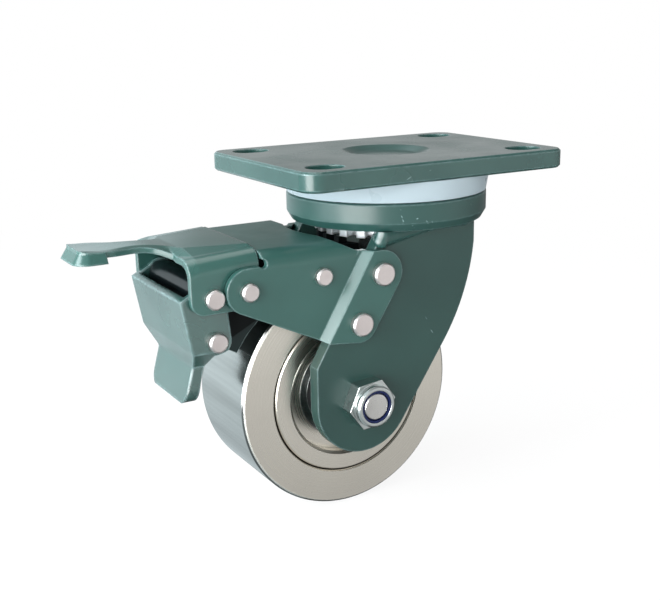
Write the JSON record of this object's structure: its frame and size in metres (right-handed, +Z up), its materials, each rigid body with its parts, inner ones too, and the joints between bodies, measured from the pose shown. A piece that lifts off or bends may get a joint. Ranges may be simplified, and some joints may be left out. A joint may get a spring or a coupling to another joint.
{
  "type": "swivel castor",
  "caption": "Plate-mounted swivel castor with a steel roller wheel and a foot pedal that locks both the wheel and the swivel.",
  "frame": {"origin": "centre of the mounting plate's top face, on the swivel axis", "axes": "+Z up out of the plate, X along the plate's long side with the brake pedal towards -X, Y along the wheel's axle"},
  "size_m": [0.2062, 0.09, 0.1481],
  "materials": {
    "green_paint": "dark blue-green baked paint, glossy",
    "seal_grey": "light grey moulded ring",
    "steel": "ground bearing steel",
    "cast_teeth": "bright zinc plated stamping",
    "zinc": "bright zinc plate",
    "rivet_steel": "bright steel with a faint pink tone",
    "wheel_steel": "turned steel, satin",
    "cage_plastic": "moulded roller cage",
    "bush_bronze": "bronze bearing metal",
    "insert_nylon": "dark blue nylon",
    "seal_rubber": "black bearing seal",
    "arm_black": "black paint, satin",
    "shoe_dark": "dark friction block"
  },
  "bodies": {
    "top": {"top_plate": "green_paint", "kingpin": "steel", "dust_seal": "seal_grey", "upper_race": "steel", "lock_ring": "cast_teeth", "kingpin_washer": "zinc", "kingpin_nut": "zinc"},
    "fork": {"swivel_cup": "green_paint", "lower_race": "steel", "thrust_rollers": "steel", "roller_cage": "cage_plastic", "kingpin_bush": "bush_bronze", "thrust_washer": "bush_bronze", "near_fork_leg": "green_paint", "far_fork_leg": "green_paint", "brake_bracket": "green_paint", "bracket_rivets": "rivet_steel", "brake_arm_pin": "rivet_steel", "pedal_pin": "rivet_steel", "axle_bolt": "zinc", "axle_nut": "zinc", "nut_insert": "insert_nylon", "axle_sleeve": "steel", "bearing_inner_rings": "steel", "bearing_spacer": "steel", "side_spacers": "zinc"},
    "wheel": {"wheel": "wheel_steel", "bearing_outer_rings": "steel", "bearing_seals": "seal_rubber"},
    "pedal": {"brake_pedal": "green_paint", "link_pin": "rivet_steel", "link_tube": "steel"},
    "lever": {"release_lever": "green_paint", "lever_pin": "rivet_steel", "link_washers": "zinc"},
    "brake_arm": {"brake_arm": "arm_black", "brake_shoe": "shoe_dark"}
  },
  "joints": [
    {"name": "swivel", "type": "hinge", "parent": "top", "child": "fork", "pos_m": [0, 0, -0.02], "axis": [0, 0, 1], "continuous": true},
    {"name": "wheel_spin", "type": "hinge", "parent": "fork", "child": "wheel", "pos_m": [-0.0328, 0, -0.0981], "axis": [0, 1, 0], "continuous": true},
    {"name": "pedal_press", "type": "hinge", "parent": "fork", "child": "pedal", "pos_m": [-0.0832, 0, -0.0446], "axis": [0, 1, 0], "range_deg": [-20, 0]},
    {"name": "lever_link", "type": "hinge", "parent": "pedal", "child": "lever", "pos_m": [-0.0964, 0, -0.0461], "axis": [0, 1, 0], "range_deg": [0, 16.3]},
    {"name": "arm_swing", "type": "hinge", "parent": "fork", "child": "brake_arm", "pos_m": [-0.051, 0, -0.0429], "axis": [0, 1, 0], "range_deg": [-5.9, 0]}
  ],
  "couplings": [
    {"joint": "lever_link", "follows": "pedal_press", "ratio": -0.8112},
    {"joint": "arm_swing", "follows": "pedal_press", "ratio": 0.2902}
  ]
}
